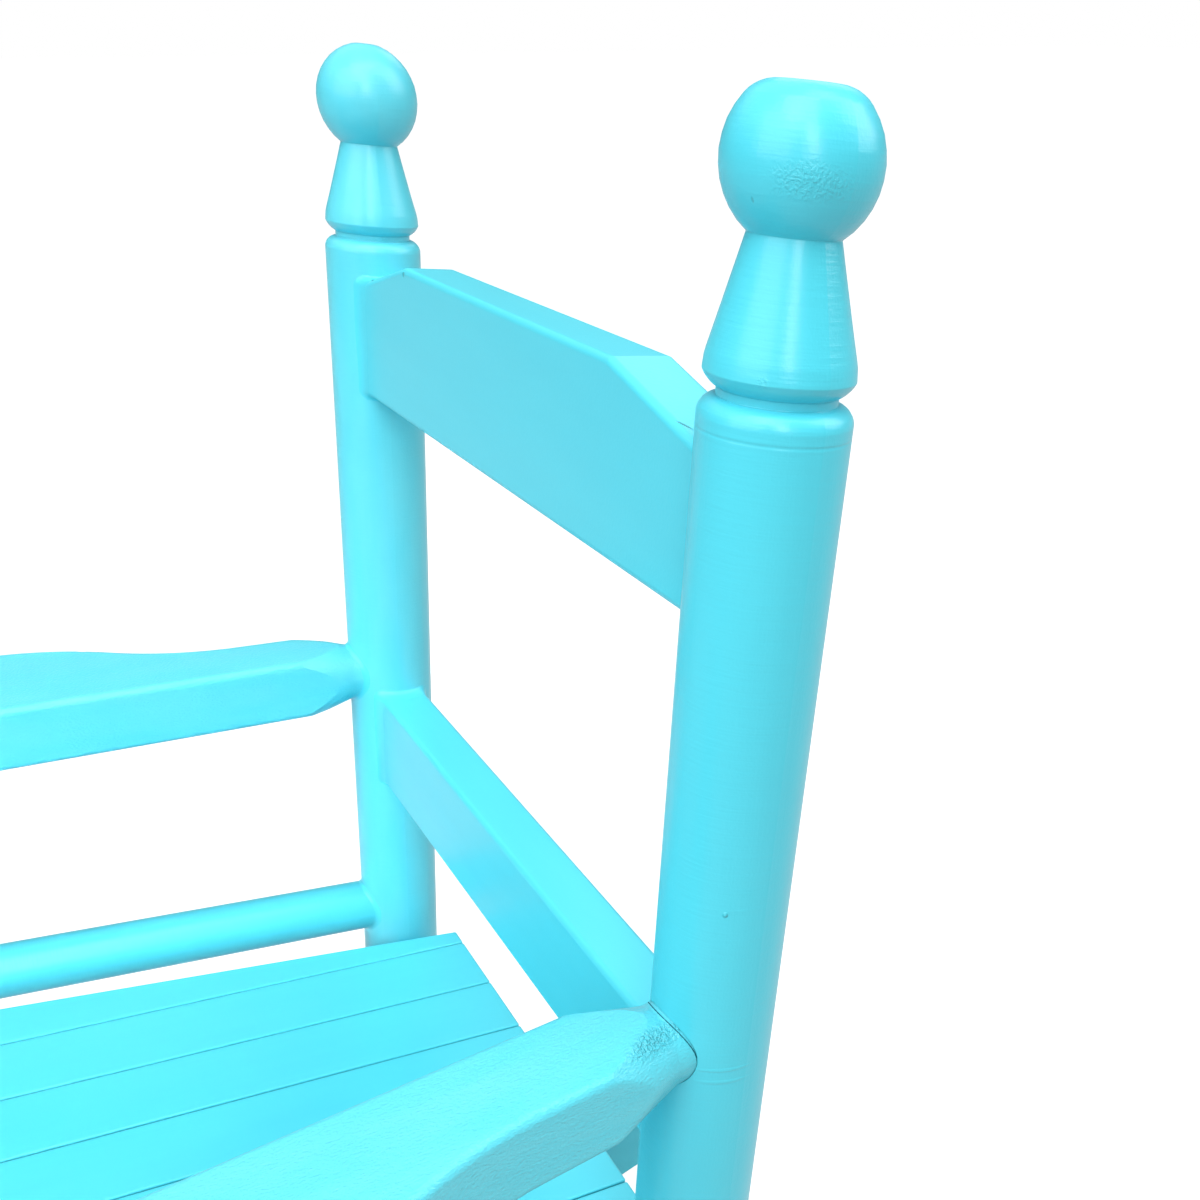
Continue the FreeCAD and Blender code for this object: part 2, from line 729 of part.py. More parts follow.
def rocker(hand, side):
    """A curved board on edge with round ends, splayed like the posts that straddle it."""
    label = "rocker_" + hand
    centre = rocker_centre()
    middle_radius = size.rocker_radius - size.rocker_depth / 2

    def angle_to(along):
        return -90 + math.degrees(math.asin((along.value - centre.y) / middle_radius.value))

    nose = angle_to(-(side_length + size.rocker_nose))
    tail = angle_to(size.rocker_tail)
    arc = doc.addObject("Part::Cut", label + "_arc")
    width = size.rocker_thickness
    arc.Base = rocker_disc(label + "_outer", size.rocker_radius, width, side, (nose, tail - nose))
    arc.Tool = rocker_disc(label + "_inner", size.rocker_radius - size.rocker_depth, width, side)
    pieces = [arc]
    for name, angle in (("nose", nose), ("tail", tail)):
        reach = middle_radius.value
        turn = math.radians(angle)
        spot = at(size.rocker_thickness / -2, centre.y + reach * math.cos(turn),
                  centre.z + reach * math.sin(turn), ALONG_X)
        pieces.append(cylinder(label + "_" + name, size.rocker_depth, size.rocker_thickness,
                               side_frame(side).multiply(spot)))
    plank = fused(label + "_plank", pieces)
    plank.Refine = True
    doc.recompute()
    outline = [i + 1 for i, edge in enumerate(plank.Shape.Edges) if edge.Length > width.value * 1.01]
    softened = doc.addObject("Part::Fillet", label + "_softened")
    softened.Base = plank
    softened.Edges = [(i, size.rocker_edge_round.value, size.rocker_edge_round.value) for i in outline]
    holes = [cylinder(label + "_hole_{}".format(i), size.post_screw_dia + size.screw_gap * 2,
                      size.rocker_screw_length, rocker_screw_spot(side, along))
             for i, along in enumerate((as_size(0), -side_length))]
    finish(label, softened, holes)


def screw(name, dia, head, length, place):
    """A cheese-headed screw with its head at a placement, pointing along Z."""
    return fused(name, [cylinder(name + "_head", head, size.screw_head_depth, place),
                        cylinder(name + "_shank", dia, length, place)])


def fasteners():
    """Screws and brads, each kind as one group."""
    slat_screws = [screw("slat_screw_{}_{}".format(which, i + 1), size.slat_screw_dia, size.slat_screw_head,
                         size.slat_screw_length, slat_screw_spot(i, which))
                   for which in SEAT_RAILS for i in range(SLAT_COUNT)]
    group("slat_screws", slat_screws)
    rocker_screws = [screw("rocker_screw_{}_{}".format(hand, i), size.post_screw_dia, size.post_screw_head,
                           size.rocker_screw_length, rocker_screw_spot(side, along))
                     for hand, side in SIDES.items() for i, along in enumerate((as_size(0), -side_length))]
    group("rocker_screws", rocker_screws)
    heights = {"crest": crest_tenon_middle, "lower": lower_rail_middle}
    group("rail_brads", [rail_brad("{}_brad_{}".format(name, hand), side, height)
                         for name, height in heights.items() for hand, side in SIDES.items()])
    group("arm_screws", [screw("arm_screw_" + hand, size.post_screw_dia, size.post_screw_head,
                               size.arm_screw_length, arm_screw_spot(side)) for hand, side in SIDES.items()])


def lean_back():
    """Lean the chair back on its rockers, and set its floor point at the origin."""
    lean = Placement(Vector(), Rotation(Vector(1, 0, 0), -size.rest_lean.value))
    for piece in parts.values():
        piece.Placement = lean.multiply(piece.Placement)
    doc.recompute()
    boxes = [piece.Shape.optimalBoundingBox(False) for piece in parts.values()]
    middle = (min(b.YMin for b in boxes) + max(b.YMax for b in boxes)) / 2
    shift = Placement(Vector(0, -middle, -min(b.ZMin for b in boxes)), Rotation())
    for piece in parts.values():
        piece.Placement = shift.multiply(piece.Placement)
    doc.recompute()
    return shift.multiply(lean)


def check():
    """Stop if any object failed or any piece is not whole."""
    for item in doc.Objects:
        if "Invalid" in item.State or "Error" in item.State:
            raise RuntimeError("{} failed: {}".format(item.Label, item.State))
    for label, piece in parts.items():
        shape = piece.Shape
        if shape.isNull() or not shape.isValid():
            raise RuntimeError(label + " has no valid shape")


def balance(to_floor):
    """Print how far the wood's middle of mass lies from the rockers' floor point."""
    wood = [piece.Shape for label, piece in parts.items() if "screw" not in label and "brad" not in label]
    volume = sum(shape.Volume for shape in wood)
    middle = sum((shape.CenterOfGravity * shape.Volume for shape in wood), Vector()) / volume
    floor_point = to_floor.multVec(side_frame(1).multVec(rocker_centre()))
    print("middle of mass", [round(c, 1) for c in middle], "floor point y", round(floor_point.y, 1))


for hand, side in SIDES.items():
    back_post(hand, side)
    front_post(hand, side)
    arm(hand, side)
    rocker(hand, side)
crest_rail()
lower_back_rail()
round_rails()
for which in SEAT_RAILS:
    seat_rail(which)
for number in range(SLAT_COUNT):
    seat_slat(number)
fasteners()
doc.recompute()
to_floor = lean_back()
check()
balance(to_floor)

os.makedirs("parts", exist_ok=True)
for label, piece in parts.items():
    piece.Shape.exportStep("parts/{}.step".format(label))
    box = piece.Shape.BoundBox
    print("{:22s} solids {:2d} volume {:10.0f} box {:.1f} {:.1f} {:.1f} to {:.1f} {:.1f} {:.1f}".format(
        label, len(piece.Shape.Solids), piece.Shape.Volume,
        box.XMin, box.YMin, box.ZMin, box.XMax, box.YMax, box.ZMax))
print(len(parts), "pieces")
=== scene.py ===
# %% [markdown]
# # A child's rocking chair, painted turquoise
#
# The wood of this chair is already cut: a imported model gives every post, board, dowel, arm and rocker
# in its place. This lesson dresses it. It sets up the camera and a small studio, mixes the paint, fills the
# joints as a painter's brush does, and finishes the screws.

import math

import bmesh
import bpy
import numpy as np
from mathutils import Euler, Matrix, Vector


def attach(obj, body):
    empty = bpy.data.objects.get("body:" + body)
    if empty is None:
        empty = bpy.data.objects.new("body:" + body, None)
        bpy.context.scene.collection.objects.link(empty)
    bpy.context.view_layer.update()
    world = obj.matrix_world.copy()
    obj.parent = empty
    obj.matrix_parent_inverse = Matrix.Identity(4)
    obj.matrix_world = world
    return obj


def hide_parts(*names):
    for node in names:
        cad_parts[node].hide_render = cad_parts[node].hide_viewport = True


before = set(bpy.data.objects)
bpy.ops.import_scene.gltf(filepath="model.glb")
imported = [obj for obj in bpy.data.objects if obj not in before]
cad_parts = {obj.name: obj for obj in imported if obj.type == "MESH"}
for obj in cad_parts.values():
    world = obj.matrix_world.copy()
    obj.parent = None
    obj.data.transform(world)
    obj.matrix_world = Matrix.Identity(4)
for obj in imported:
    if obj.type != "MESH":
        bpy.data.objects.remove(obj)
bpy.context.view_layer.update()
print("pieces of wood and steel:", len(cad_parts))

# %% [markdown]
# ## The chair's own frame
#
# At rest the chair leans back on its rockers, so its posts aren't upright. It is easier to think in the
# joiner's frame, where the posts stand straight, and to tip the result over at the end. The joiner's frame
# is in millimetres: X runs to the sitter's left, Y to the back, and the origin is between the feet of the
# back posts, on the rockers' top edge.

# %% From the joiner's frame to the floor
MM = 0.001
LEAN = math.radians(6.5)
FOOT_SPOT = Vector((0, 74.535, 39.429))
TO_FLOOR = Matrix.Scale(MM, 4) @ Matrix.Translation(FOOT_SPOT) @ Matrix.Rotation(-LEAN, 4, "X")

BACK_SPACING = 256.0
FRONT_SPACING = 292.0
POST_PITCH = 238.0
POST_RADIUS = 16.0
SPLAY = math.atan2((FRONT_SPACING - BACK_SPACING) / 2, POST_PITCH)
SIDE_LENGTH = POST_PITCH / math.cos(SPLAY)
SIDES = {"left": 1, "right": -1}
print("the posts lean back", round(math.degrees(LEAN), 1), "degrees")

# %% [markdown]
# ## The camera
#
# The picture is taken from close by, over the chair's left arm, so the near post looks far larger than the
# other. A long lens from further off would lose that. The lens sits a little off the middle of its picture,
# which is what a crop does, and Blender has the shift values for it.

# %% Set the camera
CAMERA_SPOT = Vector((0.3374, -0.0087, 0.5918))
LOOK_ROUND = math.radians(58.01)
LOOK_DOWN = math.radians(31.62)

camera_data = bpy.data.cameras.new("camera")
camera_data.sensor_width = 36
camera_data.lens = 37.23
camera_data.shift_x = -0.1187
camera_data.shift_y = 0.1553
camera_data.clip_start = 0.01
camera = bpy.data.objects.new("camera", camera_data)
camera.location = CAMERA_SPOT
camera.rotation_euler = (math.pi / 2 - LOOK_DOWN, 0, LOOK_ROUND)
bpy.context.scene.collection.objects.link(camera)
bpy.context.scene.camera = camera
print("camera stands", round(CAMERA_SPOT.z, 2), "m above the floor")

# %% [markdown]
# ## Small helpers for node trees
#
# Every finish below is a tree of shader nodes. A few helpers keep the code short: one adds a node and fills
# in its sockets, with a number, a colour or another node's output, one does a sum, and one makes a soft step.

# %% Helpers for node trees
def add_node(tree, kind, settings=None, **sockets):
    """Add a node; a socket's value is a plain value or another node's output."""
    made = tree.nodes.new("ShaderNode" + kind)
    for name, value in (settings or {}).items():
        setattr(made, name, value)
    for name, value in sockets.items():
        socket = made.inputs[name.replace("_", " ")]
        if isinstance(value, bpy.types.NodeSocket):
            tree.links.new(value, socket)
        else:
            socket.default_value = value
    return made


def sums(tree, operation, *values):
    """Return the output of a Math node."""
    made = tree.nodes.new("ShaderNodeMath")
    made.operation = operation
    for socket, value in zip(made.inputs, values):
        if isinstance(value, bpy.types.NodeSocket):
            tree.links.new(value, socket)
        else:
            socket.default_value = value
    return made.outputs[0]


def ramp(tree, value, low, high, start=0.0, end=1.0):
    """Return a smooth step from start to end as value goes from low to high."""
    made = add_node(tree, "MapRange", {"interpolation_type": "SMOOTHSTEP"}, Value=value, From_Min=low,
                    From_Max=high, To_Min=start, To_Max=end)
    return made.outputs[0]


def mixed(tree, share, first, second):
    """Return a colour between two, each a plain colour or another node's output."""
    made = add_node(tree, "Mix", {"data_type": "RGBA"})
    tree.links.new(share, made.inputs[0])
    for socket, colour in zip((made.inputs[6], made.inputs[7]), (first, second)):
        if isinstance(colour, bpy.types.NodeSocket):
            tree.links.new(colour, socket)
        else:
            socket.default_value = colour
    return made.outputs[2]


def new_material(name):
    """Return an empty material, its tree and its output node."""
    material = bpy.data.materials.new(name)
    material.use_nodes = True
    tree = material.node_tree
    tree.nodes.clear()
    output = tree.nodes.new("ShaderNodeOutputMaterial")
    return material, tree, output


print("helpers ready")

# %% [markdown]
# ## The studio
#
# The chair stands on a white floor. A white floor under ordinary light looks grey in a picture, and more
# light would bleach the paint, so the floor glows a little for the camera, by half in reflections and not at
# all as light, and most of all far away where the lamps don't reach. Near the chair it still takes a soft
# shadow. The room around is a dim even white. The rest comes from large soft lamps: in front, behind,
# overhead and beyond the camera, as in a room with several windows. A small one with a narrow beam lifts the
# far arm.

# %% Floor and room
WHITE = (1, 1, 1, 1)
FLOOR_HALF = 30.0
FLOOR_TONE = (0.42, 0.42, 0.42, 1)
FLOOR_GLOW = 0.8
GLOW_IN_GLOSS = 0.5
# the glow grows to full white between these distances, in metres
GLOW_GROWS = (0.6, 3.0)
ROOM_LIGHT = 0.2

floor_material, tree, output = new_material("studio_floor")
path = tree.nodes.new("ShaderNodeLightPath").outputs
seen = sums(tree, "MULTIPLY_ADD", path["Is Glossy Ray"], GLOW_IN_GLOSS, path["Is Camera Ray"])
paper = add_node(tree, "BsdfDiffuse", Color=FLOOR_TONE)
away = add_node(tree, "VectorMath", {"operation": "LENGTH"},
                Vector=tree.nodes.new("ShaderNodeTexCoord").outputs["Object"]).outputs["Value"]
brighter = ramp(tree, away, *GLOW_GROWS, FLOOR_GLOW, 1.0)
glow = add_node(tree, "Emission", Color=WHITE, Strength=sums(tree, "MULTIPLY", seen, brighter))
both = tree.nodes.new("ShaderNodeAddShader")
tree.links.new(paper.outputs[0], both.inputs[0])
tree.links.new(glow.outputs[0], both.inputs[1])
tree.links.new(both.outputs[0], output.inputs["Surface"])

floor_shape = bmesh.new()
bmesh.ops.create_grid(floor_shape, x_segments=1, y_segments=1, size=FLOOR_HALF)
floor_mesh = bpy.data.meshes.new("studio_floor")
floor_shape.to_mesh(floor_mesh)
floor_shape.free()
floor_mesh.materials.append(floor_material)
floor = bpy.data.objects.new("studio_floor", floor_mesh)
bpy.context.scene.collection.objects.link(floor)

world = bpy.data.worlds.new("room")
world.use_nodes = True
tree = world.node_tree
tree.nodes.clear()
path = tree.nodes.new("ShaderNodeLightPath").outputs
strength = sums(tree, "MULTIPLY_ADD", path["Is Camera Ray"], 1 - ROOM_LIGHT, ROOM_LIGHT)
room = add_node(tree, "Background", Color=WHITE, Strength=strength)
tree.links.new(room.outputs[0], add_node(tree, "OutputWorld").inputs["Surface"])
bpy.context.scene.world = world
bpy.context.scene.view_settings.view_transform = "Standard"
print("floor of", 2 * FLOOR_HALF, "m")

# %% Lamps
def soft_lamp(name, spot, aim, wide, tall, watts, beam=180):
    """Hang a rectangular lamp that points at a spot and throws a beam so many degrees wide."""
    data = bpy.data.lights.new(name, "AREA")
    data.shape = "RECTANGLE"
    data.size = wide
    data.size_y = tall
    data.energy = watts
    data.spread = math.radians(beam)
    lamp = bpy.data.objects.new(name, data)
    lamp.location = spot
    lamp.rotation_euler = (Vector(aim) - Vector(spot)).to_track_quat("-Z", "Y").to_euler()
    bpy.context.scene.collection.objects.link(lamp)
    return lamp


CHAIR_MIDDLE = (0, 0.05, 0.4)
soft_lamp("front_lamp", (0.5, -1.5, 1.7), CHAIR_MIDDLE, 2.0, 2.0, 28)
soft_lamp("ceiling_lamp", (-0.6, -0.2, 2.0), CHAIR_MIDDLE, 2.4, 2.4, 10)
soft_lamp("top_lamp", (0.5, -0.2, 2.0), CHAIR_MIDDLE, 1.0, 1.0, 11)
soft_lamp("high_back_lamp", (0.3, 0.7, 1.8), CHAIR_MIDDLE, 0.8, 0.8, 4)
soft_lamp("window_lamp", (1.5, -0.35, 1.4), CHAIR_MIDDLE, 0.4, 1.2, 10.5)
soft_lamp("back_lamp", (0.6, 1.6, 1.4), CHAIR_MIDDLE, 1.2, 1.2, 13)
soft_lamp("far_window_lamp", (-1.07, 1.15, 1.42), CHAIR_MIDDLE, 0.7, 0.7, 1.7)
soft_lamp("far_arm_lamp", (0.75, -1.0, 0.9), (-0.15, -0.1, 0.34), 0.3, 0.3, 0.27, 20)

# %% [markdown]
# ## The paint
#
# The whole chair has one paint: a bright turquoise enamel, half glossy, brushed or sprayed over wood. Up
# close it is not flat. Under it the grain still shows as fine ridges, the film has the slight pebble of
# sprayed paint and soft long waves, and on turned pieces the lathe's rings show through. Paint also flows
# off sharp corners, so every edge is a little rounder than the wood beneath; a Bevel node gives that. Tight
# corners such as the seams of the seat get painted shade where an Ambient Occlusion node finds them closed
# in. On the arms and the right back post the colour is a little paler and greyer, a painted sheen.
#
# One function mixes the paint and is told which way the grain runs, so every piece gets grain along its own
# length. All of it works in the joiner's frame in millimetres, so the sizes are real ones.

# %% Points and noises that the paint is made of
UNTIP = Euler((LEAN, 0, 0))
# a mark is whole out to the first share of its reach and gone at the second
MARK_FADE = (0.35, 1.0)


def joiner_coordinates(tree):
    """Return the surface point in the joiner's frame, in millimetres."""
    here = tree.nodes.new("ShaderNodeTexCoord").outputs["Object"]
    origin = UNTIP.to_matrix() @ FOOT_SPOT
    return add_node(tree, "Mapping", Vector=here, Location=-origin, Rotation=UNTIP,
                    Scale=(1 / MM, 1 / MM, 1 / MM)).outputs[0]


def along_grain(tree, point, grain, shift):
    """Return the point turned so that the grain runs along Z, and moved to its own stretch of wood."""
    turn = Vector(grain).rotation_difference(Vector((0, 0, 1))).to_euler()
    return add_node(tree, "Mapping", Vector=point, Rotation=turn, Location=shift).outputs[0]


def stretched_noise(tree, point, across, along, detail=2.0):
    """Return noise whose grains are so many millimetres across and along the grain."""
    scaled = add_node(tree, "Mapping", Vector=point, Scale=(1 / across, 1 / across, 1 / along)).outputs[0]
    return add_node(tree, "TexNoise", Vector=scaled, Scale=1.0, Detail=detail).outputs[0]


def near_spot(tree, point, spot, reach, turn):
    """Return 1 at a spot, fading to 0 at its reach along X, Y and Z, turned so many degrees about Z."""
    moved = add_node(tree, "Mapping", {"vector_type": "TEXTURE"}, Vector=point, Location=spot, Scale=reach,
                     Rotation=(0, 0, math.radians(turn)))
    distance = add_node(tree, "VectorMath", {"operation": "LENGTH"}, Vector=moved.outputs[0])
    return ramp(tree, distance.outputs["Value"], *MARK_FADE, 1.0, 0.0)


print("paint's parts ready")

# %% [markdown]
# ## Marks in the paint
#
# The chair has been painted by hand, and it shows: paint has wrinkled on the near ball and pitted on the near
# arm beside the post, there is a nib of dust in the film, a nick or two, a short crack, two faint ridges
# where the brush stopped, and the turner's fine line under the near post's shoulder. Each mark is a spot on
# one piece with a reach, a turn, the size of its wrinkles, their depth and how much shade is painted into its
# hollows. A smooth mark is one bump, or a dent where the depth is negative.

# %% List the marks
SMOOTH = 60.0
MARKS = {
    # spot, reach, turn in degrees, wrinkle size, depth and painted shade in its hollows; sizes in millimetres
    "back_post_left": [
        ((141.6, -6.8, 531.2), (10.0, 11.0, 4.4), 0, 0.6, 0.10, 0.05),
        ((132.7, -13.1, 527.3), (0.4, 0.4, 1.2), 0, SMOOTH, -0.1, 0.3),
        ((138.6, -10.9, 497.0), (1.7, 1.7, 1.6), 0, 0.7, 0.08, 0.03),
        ((128.0, 0.0, 485.5), (30.0, 30.0, 0.6), 0, SMOOTH, -0.09, 0.02),
        ((141.6, -8.5, 378.3), (0.8, 0.8, 0.9), 0, SMOOTH, 0.35, 0.0),
        ((142.7, -5.0, 331.6), (9.0, 9.5, 0.8), 0, SMOOTH, 0.09, 0.0),
        ((142.7, -5.0, 327.8), (9.0, 9.5, 0.8), 0, SMOOTH, 0.09, 0.0),
    ],
    "back_post_right": [((-114.1, -8.0, 456.6), (0.8, 0.8, 2.4), 0, SMOOTH, -0.1, 0.3)],
    "crest_rail": [
        ((-70.0, -9.0, 487.3), (1.1, 1.1, 1.0), 0, SMOOTH, -0.3, 0.45),
        ((104.1, -6.6, 481.2), (3.0, 0.4, 2.0), 25, SMOOTH, -0.3, 0.8),
    ],
    "arm_left": [((137.6, -21.5, 344.5), (5.0, 13.5, 6.0), 19, 1.0, 0.5, 0.14)],
}
print("marks:", sum(len(spots) for spots in MARKS.values()))

# %% Mix the paint
DEEP_TURQUOISE = (0.078, 0.650, 0.795, 1)
PALE_TURQUOISE = (0.090, 0.690, 0.830, 1)
# a paler, greyer turquoise: painted sheen on the arms and the right back post
SHEEN_TURQUOISE = (0.150, 0.690, 0.800, 1)
# the colour of painted shade, used in tight corners and in the hollows of the marks
SHADE_TURQUOISE = (0.010, 0.230, 0.290, 1)
FILM_GLOSS = 0.3
GLOSS_SWING = 0.08
# each layer's size across and along the grain in millimetres, its detail, and its height in millimetres
FIBRES = (0.7, 30.0, 3.0, 0.02)
WAVES = (16.0, 70.0, 1.0, 0.05)
LATHE_RINGS = (14.0, 0.8, 2.0, 0.07)
PLAIN_PEEL = (0.8, 0.8, 1.0, 0.03)
ARM_PEEL = (0.6, 1.1, 1.0, 0.26)
TONE_SIZE = (9.0, 45.0, 3.0)
# how far one piece's stretch of wood lies from the next one's, in millimetres
WOOD_STEP = Vector((37.0, 53.0, 71.0))
FLOW_RADIUS = 0.3 * MM
SOFT_FLOW = 4.0 * MM
# painted shade in corners: how far the Ambient Occlusion looks, the openness over which the shade fades out,
# and its strength
CORNER_SHADE_REACH = 2.5 * MM
CORNER_SHADE_OPENNESS = (0.15, 0.6)
CORNER_SHADE_STRENGTH = 0.6
CORNER_RAYS = 8
LUMP_STEP = (0.35, 0.65)


def mark_layers(tree, point, marks, height):
    """Return the paint's height with its marks, and the painted shade in their hollows."""
    dark = 0.0
    for spot, reach, turn, wrinkle, depth, shade in marks:
        patch = near_spot(tree, point, spot, reach, turn)
        lumps = ramp(tree, stretched_noise(tree, point, wrinkle, wrinkle), *LUMP_STEP)
        if wrinkle == SMOOTH:
            lumps = 1.0
        height = sums(tree, "MULTIPLY_ADD", sums(tree, "MULTIPLY", patch, lumps), depth, height)
        # painted shade: a wrinkle is darkened between its lumps, a bump nowhere and a dent all over
        hollow = sums(tree, "SUBTRACT", 1.0 if depth > 0 else 2.0, lumps)
        dark = sums(tree, "MULTIPLY_ADD", sums(tree, "MULTIPLY", patch, hollow), shade, dark)
    return height, dark


def paint(name, grain, number, turned=False, peel=PLAIN_PEEL, pale=PALE_TURQUOISE, marks=(), flow=FLOW_RADIUS,
          soft_spot=None):
    """Return the turquoise paint for a piece whose grain runs along the given direction."""
    material, tree, output = new_material(name)
    point = joiner_coordinates(tree)
    wood = along_grain(tree, point, grain, WOOD_STEP * number)
    height = 0.0
    for across, along, detail, tall in (FIBRES, WAVES, peel) + ((LATHE_RINGS,) if turned else ()):
        layer = stretched_noise(tree, wood, across, along, detail)
        height = sums(tree, "MULTIPLY_ADD", layer, tall, height)
    height, dark = mark_layers(tree, point, marks, height)
    if soft_spot:
        flow = sums(tree, "MULTIPLY_ADD", near_spot(tree, point, *soft_spot, 0), SOFT_FLOW, flow)
    rounded = add_node(tree, "Bevel", {"samples": CORNER_RAYS}, Radius=flow)
    bump = add_node(tree, "Bump", Height=height, Distance=MM, Strength=1.0, Normal=rounded.outputs[0])
    tone = stretched_noise(tree, wood, *TONE_SIZE)
    colour = mixed(tree, tone, DEEP_TURQUOISE, pale)
    # painted shade in the hollows of the marks
    if marks:
        colour = mixed(tree, dark, colour, SHADE_TURQUOISE)
    # painted shade: tight corners and seams are darkened towards the shade colour where Ambient Occlusion finds
    # them closed in
    openness = add_node(tree, "AmbientOcclusion", {"samples": CORNER_RAYS}, Distance=CORNER_SHADE_REACH)
    painted_shade_mix = ramp(tree, openness.outputs["AO"], *CORNER_SHADE_OPENNESS, CORNER_SHADE_STRENGTH, 0.0)
    colour = mixed(tree, painted_shade_mix, colour, SHADE_TURQUOISE)
    waves = stretched_noise(tree, wood, *WAVES[:3])
    gloss = sums(tree, "MULTIPLY_ADD", waves, GLOSS_SWING, FILM_GLOSS - GLOSS_SWING / 2)
    film = add_node(tree, "BsdfPrincipled", Base_Color=colour, Roughness=gloss, IOR=1.5,
                    Normal=bump.outputs[0])
    tree.links.new(film.outputs[0], output.inputs["Surface"])
    return material


print("paint ready")

# %% Paint every wooden piece along its grain
UP = (0, 0, 1)
ACROSS = (1, 0, 0)
TURNED_WORDS = ("post", "side_rail", "stretcher")
SHEEN_NODES = ("arm_left", "arm_right", "back_post_right")
# where an arm's side runs softly into its turned tip: a spot and its reach
ARM_TIPS = {
    "arm_left": ((141, -32, 332), (22, 24, 13)),
    "arm_right": ((-130, -22, 330), (20, 16, 20)),
}


def grain_of(node):
    """Return the way a piece's grain runs, in the joiner's frame."""
    if "post" in node:
        return UP
    if node.startswith(("seat_slat", "rocker", "arm", "side")):
        side = next((s for hand, s in SIDES.items() if node.endswith(hand)), 0)
        return (-math.sin(SPLAY) * side, math.cos(SPLAY), 0)
    return ACROSS


STEEL_NODES = ("slat_screws", "rocker_screws", "rail_brads", "arm_screws")
painted = [n for n in sorted(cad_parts) if n not in STEEL_NODES]
for number, node in enumerate(painted):
    turned = any(word in node for word in TURNED_WORDS)
    peel = ARM_PEEL if node.startswith("arm") else PLAIN_PEEL
    # the arms and the right back post take the paler turquoise, a painted sheen
    pale = SHEEN_TURQUOISE if node in SHEEN_NODES else PALE_TURQUOISE
    material = paint("paint_on_" + node, grain_of(node), number, turned, peel, pale, MARKS.get(node, ()),
                     soft_spot=ARM_TIPS.get(node))
    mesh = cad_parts[node].data
    mesh.materials.clear()
    mesh.materials.append(material)
print("painted", len(painted), "pieces")

# %% [markdown]
# ## Paint in the joints
#
# Where a board, dowel or arm enters a post, the paint gathers and leaves a small hollow fillet that hides the
# joint. In the shop it is the brush, or a finger with filler, that makes it. Here it is a ring that follows
# the piece's outline. Seen from the side it is a curve that leaves the piece along its length and runs out
# along the post, so it needs only three points for each place on the outline: one on the piece, one in the
# corner and one on the post. The ring is closed inside the wood, where it isn't seen.

# %% Outlines to follow
CORNER_STEPS = 4
SIDE_STEPS = 6


def round_outline(radius, count=48):
    """Return points round a dowel, each with its outward direction."""
    ways = [Vector((math.cos(t), math.sin(t))) for t in np.linspace(0, 2 * math.pi, count, endpoint=False)]
    return [(way * radius, way) for way in ways]


def board_outline(thickness, low, high, corner):
    """Return points round a board's end, with rounded corners, each with its outward direction."""
    half = thickness / 2 - corner
    corners = [(half, high - corner), (-half, high - corner), (-half, low + corner), (half, low + corner)]
    turns = []
    for number, centre in enumerate(corners):
        for step in range(CORNER_STEPS + 1):
            angle = math.pi / 2 * (number + step / CORNER_STEPS)
            way = Vector((math.cos(angle), math.sin(angle)))
            turns.append((Vector(centre) + way * corner, way))
    outline = []
    for number, (spot, way) in enumerate(turns):
        outline.append((spot, way))
        after, after_way = turns[(number + 1) % len(turns)]
        if (after_way - way).length < 1e-6:
            outline += [(spot.lerp(after, i / SIDE_STEPS), way) for i in range(1, SIDE_STEPS)]
    return outline


print("outlines ready")

# %% Turn an outline into a ring of paint
FILLET_STEPS = 7
FILLET_WOBBLE = 0.12
# how far the wobble's two waves go on from point to point, in radians
QUICK_WAVE = 0.9
SLOW_WAVE = 0.37
RIM_SINK = 0.12
BURIED = 0.8


def ring_edges(shape, ring):
    """Return the edges of a closed ring of points."""
    return [shape.edges.get((a, b)) for a, b in zip(ring, ring[1:] + ring[:1])]


def grown_ring(shape, ring):
    """Extrude a closed ring of points and return the new ring, in the same order."""
    made = bmesh.ops.extrude_edge_only(shape, edges=ring_edges(shape, ring))["geom"]
    fresh = {v for v in made if isinstance(v, bmesh.types.BMVert)}
    return [next(e.other_vert(v) for e in v.link_edges if e.other_vert(v) in fresh) for v in ring]


def fillet_sections(outline, reach, rise, stretch, fall):
    """Return the rings of a fillet as lists of points: one buried ring, then the curve from piece to post."""
    def depth(spot):
        level = math.sqrt(max(POST_RADIUS * POST_RADIUS - spot.x * spot.x, 0))
        return (level - spot.y * math.sin(fall)) / math.cos(fall)

    sections = [[] for _ in range(FILLET_STEPS + 2)]
    for number, (spot, way) in enumerate(outline):
        wobble = math.sin(QUICK_WAVE * number) * math.sin(SLOW_WAVE * number + 1)
        here = reach * (1 + FILLET_WOBBLE * wobble)
        wide = spot + way * here
        corner = Vector((depth(spot), *spot))
        under = spot - way * RIM_SINK
        along = here * stretch
        on_piece = Vector((depth(spot) + along, under.x, under.y + rise * along * max(way.y, 0)))
        on_post = Vector((depth(wide) - RIM_SINK, *wide))
        inside = spot - way * BURIED
        sections[0].append(Vector((depth(inside) - BURIED, *inside)))
        for step in range(FILLET_STEPS + 1):
            t = step / FILLET_STEPS
            curve = on_piece * (1 - t) ** 2 + corner * 2 * t * (1 - t) + on_post * t ** 2
            sections[step + 1].append(curve)
    return sections


